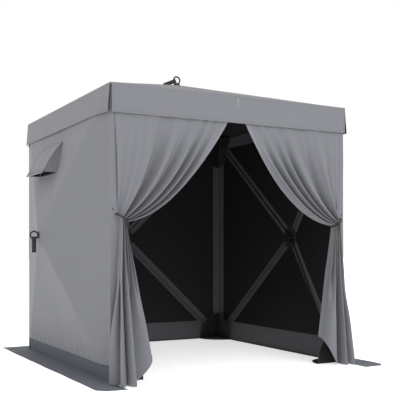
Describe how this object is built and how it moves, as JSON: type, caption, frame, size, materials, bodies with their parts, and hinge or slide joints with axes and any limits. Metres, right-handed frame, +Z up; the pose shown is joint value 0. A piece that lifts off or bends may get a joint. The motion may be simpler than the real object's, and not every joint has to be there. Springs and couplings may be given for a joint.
{
  "type": "pop-up hub shelter",
  "caption": "Square pop-up fabric shelter on spread rods: a hubbed roof and three hubbed walls, a tied-back curtain doorway, valances, a vent hood and a ground skirt.",
  "frame": {"origin": "centre of the square footprint, on the ground", "axes": "+Z up, +Y from the doorway to the back wall, +X to the right as seen from in front of the doorway"},
  "size_m": [2.368, 2.368, 2.214],
  "materials": {
    "oxford": "matte",
    "skirt_oxford": "matte",
    "screen_mesh": "matte",
    "pocket_fabric": "matte",
    "fibreglass_rod": "satin",
    "moulded_nylon": "satin",
    "webbing": "matte",
    "cord": "matte"
  },
  "bodies": {
    "shelter": {"roof_cover": "oxford", "left_mesh_wall": "screen_mesh", "left_valance": "oxford", "right_mesh_wall": "screen_mesh", "right_valance": "oxford", "back_mesh_wall": "screen_mesh", "back_valance": "oxford", "front_valance": "oxford", "left_wind_panel": "oxford", "right_wind_panel": "oxford", "back_wind_panel": "oxford", "ground_skirt": "skirt_oxford", "bottom_pocket_front_left": "pocket_fabric", "top_pocket_front_left": "pocket_fabric", "bottom_pocket_front_right": "pocket_fabric", "top_pocket_front_right": "pocket_fabric", "bottom_pocket_back_left": "pocket_fabric", "top_pocket_back_left": "pocket_fabric", "bottom_pocket_back_right": "pocket_fabric", "top_pocket_back_right": "pocket_fabric", "left_curtain": "oxford", "left_tieback": "cord", "right_curtain": "oxford", "right_tieback": "cord"},
    "left_hub_set": {"left_hub": "moulded_nylon", "left_hub_cap": "moulded_nylon", "left_pull_ring": "moulded_nylon"},
    "left_pole_bottom_back": {"left_pole_bottom_back": "fibreglass_rod"},
    "left_pole_bottom_front": {"left_pole_bottom_front": "fibreglass_rod"},
    "left_pole_top_back": {"left_pole_top_back": "fibreglass_rod"},
    "left_pole_top_front": {"left_pole_top_front": "fibreglass_rod"},
    "left_pull_strap": {"left_pull_strap": "webbing"},
    "right_hub_set": {"right_hub": "moulded_nylon", "right_hub_cap": "moulded_nylon", "right_pull_ring": "moulded_nylon"},
    "right_pole_bottom_front": {"right_pole_bottom_front": "fibreglass_rod"},
    "right_pole_bottom_back": {"right_pole_bottom_back": "fibreglass_rod"},
    "right_pole_top_front": {"right_pole_top_front": "fibreglass_rod"},
    "right_pole_top_back": {"right_pole_top_back": "fibreglass_rod"},
    "right_pull_strap": {"right_pull_strap": "webbing"},
    "back_hub_set": {"back_hub": "moulded_nylon", "back_hub_cap": "moulded_nylon", "back_pull_ring": "moulded_nylon"},
    "back_pole_bottom_right": {"back_pole_bottom_right": "fibreglass_rod"},
    "back_pole_bottom_left": {"back_pole_bottom_left": "fibreglass_rod"},
    "back_pole_top_right": {"back_pole_top_right": "fibreglass_rod"},
    "back_pole_top_left": {"back_pole_top_left": "fibreglass_rod"},
    "back_pull_strap": {"back_pull_strap": "webbing"},
    "roof_hub_set": {"roof_hub": "moulded_nylon", "roof_hub_cap": "moulded_nylon", "roof_pull_ring": "moulded_nylon"},
    "roof_pole_front_left": {"roof_pole_front_left": "fibreglass_rod"},
    "roof_pole_front_right": {"roof_pole_front_right": "fibreglass_rod"},
    "roof_pole_back_left": {"roof_pole_back_left": "fibreglass_rod"},
    "roof_pole_back_right": {"roof_pole_back_right": "fibreglass_rod"},
    "roof_pull_strap": {"roof_pull_strap": "webbing"},
    "vent_window": {"vent_window": "screen_mesh"},
    "vent_flap": {"vent_flap": "oxford", "vent_stiffener_rod": "fibreglass_rod"}
  },
  "joints": [
    {"name": "left_hub_slide", "type": "slide", "parent": "shelter", "child": "left_hub_set", "axis": [1, 0, 0], "range_m": [0, 0.41], "deforming": ["left_mesh_wall", "left_wind_panel"]},
    {"name": "left_pole_bottom_back_hinge", "type": "hinge", "parent": "left_hub_set", "child": "left_pole_bottom_back", "pos_m": [-1.095, 0.02063, 0.92072], "axis": [0, 0.7261, 0.6876], "range_deg": [0, 19.3]},
    {"name": "left_pole_bottom_front_hinge", "type": "hinge", "parent": "left_hub_set", "child": "left_pole_bottom_front", "pos_m": [-1.095, -0.02063, 0.92072], "axis": [0, 0.7261, -0.6876], "range_deg": [0, 19.3]},
    {"name": "left_pole_top_back_hinge", "type": "hinge", "parent": "left_hub_set", "child": "left_pole_top_back", "pos_m": [-1.095, 0.02063, 0.96428], "axis": [0, -0.7261, 0.6876], "range_deg": [0, 19.3]},
    {"name": "left_pole_top_front_hinge", "type": "hinge", "parent": "left_hub_set", "child": "left_pole_top_front", "pos_m": [-1.095, -0.02063, 0.96428], "axis": [0, -0.7261, -0.6876], "range_deg": [0, 19.3]},
    {"name": "left_strap_swing", "type": "hinge", "parent": "left_hub_set", "child": "left_pull_strap", "pos_m": [-1.151, 0, 0.9425], "axis": [0, 1, 0], "range_deg": [-12, 100]},
    {"name": "right_hub_slide", "type": "slide", "parent": "shelter", "child": "right_hub_set", "axis": [-1, 0, 0], "range_m": [0, 0.41], "deforming": ["right_mesh_wall", "right_wind_panel"]},
    {"name": "right_pole_bottom_front_hinge", "type": "hinge", "parent": "right_hub_set", "child": "right_pole_bottom_front", "pos_m": [1.095, -0.02063, 0.92072], "axis": [0, -0.7261, 0.6876], "range_deg": [0, 19.3]},
    {"name": "right_pole_bottom_back_hinge", "type": "hinge", "parent": "right_hub_set", "child": "right_pole_bottom_back", "pos_m": [1.095, 0.02063, 0.92072], "axis": [0, -0.7261, -0.6876], "range_deg": [0, 19.3]},
    {"name": "right_pole_top_front_hinge", "type": "hinge", "parent": "right_hub_set", "child": "right_pole_top_front", "pos_m": [1.095, -0.02063, 0.96428], "axis": [0, 0.7261, 0.6876], "range_deg": [0, 19.3]},
    {"name": "right_pole_top_back_hinge", "type": "hinge", "parent": "right_hub_set", "child": "right_pole_top_back", "pos_m": [1.095, 0.02063, 0.96428], "axis": [0, 0.7261, -0.6876], "range_deg": [0, 19.3]},
    {"name": "right_strap_swing", "type": "hinge", "parent": "right_hub_set", "child": "right_pull_strap", "pos_m": [1.151, 0, 0.9425], "axis": [0, -1, 0], "range_deg": [-12, 100]},
    {"name": "back_hub_slide", "type": "slide", "parent": "shelter", "child": "back_hub_set", "axis": [0, -1, 0], "range_m": [0, 0.41], "deforming": ["back_mesh_wall", "back_wind_panel"]},
    {"name": "back_pole_bottom_right_hinge", "type": "hinge", "parent": "back_hub_set", "child": "back_pole_bottom_right", "pos_m": [0.02063, 1.095, 0.92072], "axis": [0.7261, 0, 0.6876], "range_deg": [0, 19.3]},
    {"name": "back_pole_bottom_left_hinge", "type": "hinge", "parent": "back_hub_set", "child": "back_pole_bottom_left", "pos_m": [-0.02063, 1.095, 0.92072], "axis": [0.7261, 0, -0.6876], "range_deg": [0, 19.3]},
    {"name": "back_pole_top_right_hinge", "type": "hinge", "parent": "back_hub_set", "child": "back_pole_top_right", "pos_m": [0.02063, 1.095, 0.96428], "axis": [-0.7261, 0, 0.6876], "range_deg": [0, 19.3]},
    {"name": "back_pole_top_left_hinge", "type": "hinge", "parent": "back_hub_set", "child": "back_pole_top_left", "pos_m": [-0.02063, 1.095, 0.96428], "axis": [-0.7261, 0, -0.6876], "range_deg": [0, 19.3]},
    {"name": "back_strap_swing", "type": "hinge", "parent": "back_hub_set", "child": "back_pull_strap", "pos_m": [0, 1.151, 0.9425], "axis": [1, 0, 0], "range_deg": [-12, 100]},
    {"name": "roof_hub_slide", "type": "slide", "parent": "shelter", "child": "roof_hub_set", "axis": [0, 0, -1], "range_m": [0, 0.516], "deforming": ["roof_cover"]},
    {"name": "roof_pole_front_left_hinge", "type": "hinge", "parent": "roof_hub_set", "child": "roof_pole_front_left", "pos_m": [-0.02121, -0.02121, 2.12], "axis": [-0.7071, 0.7071, 0], "range_deg": [0, 24.27]},
    {"name": "roof_pole_front_right_hinge", "type": "hinge", "parent": "roof_hub_set", "child": "roof_pole_front_right", "pos_m": [0.02121, -0.02121, 2.12], "axis": [-0.7071, -0.7071, 0], "range_deg": [0, 24.27]},
    {"name": "roof_pole_back_left_hinge", "type": "hinge", "parent": "roof_hub_set", "child": "roof_pole_back_left", "pos_m": [-0.02121, 0.02121, 2.12], "axis": [0.7071, 0.7071, 0], "range_deg": [0, 24.27]},
    {"name": "roof_pole_back_right_hinge", "type": "hinge", "parent": "roof_hub_set", "child": "roof_pole_back_right", "pos_m": [0.02121, 0.02121, 2.12], "axis": [0.7071, -0.7071, 0], "range_deg": [0, 24.27]},
    {"name": "roof_strap_swing", "type": "hinge", "parent": "roof_hub_set", "child": "roof_pull_strap", "pos_m": [0, 0, 2.181], "axis": [0, 1, 0], "range_deg": [0, 132]},
    {"name": "vent_window_tilt", "type": "hinge", "parent": "shelter", "child": "vent_window", "pos_m": [-0.923, 0.08, 1.885], "axis": [0, -1, 0], "range_deg": [0, 23.92]},
    {"name": "vent_flap_hinge", "type": "hinge", "parent": "vent_window", "child": "vent_flap", "pos_m": [-0.9822, 0.08, 1.61644], "axis": [0, -1, 0], "range_deg": [0, 18.8]}
  ],
  "couplings": [
    {"joint": "left_pole_bottom_back_hinge", "follows": "left_hub_slide", "rad_per_m": 0.82125},
    {"joint": "left_pole_bottom_front_hinge", "follows": "left_hub_slide", "rad_per_m": 0.82125},
    {"joint": "left_pole_top_back_hinge", "follows": "left_hub_slide", "rad_per_m": 0.82125},
    {"joint": "left_pole_top_front_hinge", "follows": "left_hub_slide", "rad_per_m": 0.82125},
    {"joint": "right_pole_bottom_front_hinge", "follows": "right_hub_slide", "rad_per_m": 0.82125},
    {"joint": "right_pole_bottom_back_hinge", "follows": "right_hub_slide", "rad_per_m": 0.82125},
    {"joint": "right_pole_top_front_hinge", "follows": "right_hub_slide", "rad_per_m": 0.82125},
    {"joint": "right_pole_top_back_hinge", "follows": "right_hub_slide", "rad_per_m": 0.82125},
    {"joint": "back_pole_bottom_right_hinge", "follows": "back_hub_slide", "rad_per_m": 0.82125},
    {"joint": "back_pole_bottom_left_hinge", "follows": "back_hub_slide", "rad_per_m": 0.82125},
    {"joint": "back_pole_top_right_hinge", "follows": "back_hub_slide", "rad_per_m": 0.82125},
    {"joint": "back_pole_top_left_hinge", "follows": "back_hub_slide", "rad_per_m": 0.82125},
    {"joint": "roof_pole_front_left_hinge", "follows": "roof_hub_slide", "rad_per_m": 0.82059},
    {"joint": "roof_pole_front_right_hinge", "follows": "roof_hub_slide", "rad_per_m": 0.82059},
    {"joint": "roof_pole_back_left_hinge", "follows": "roof_hub_slide", "rad_per_m": 0.82059},
    {"joint": "roof_pole_back_right_hinge", "follows": "roof_hub_slide", "rad_per_m": 0.82059},
    {"joint": "vent_window_tilt", "follows": "left_hub_slide", "rad_per_m": 1.0177}
  ]
}
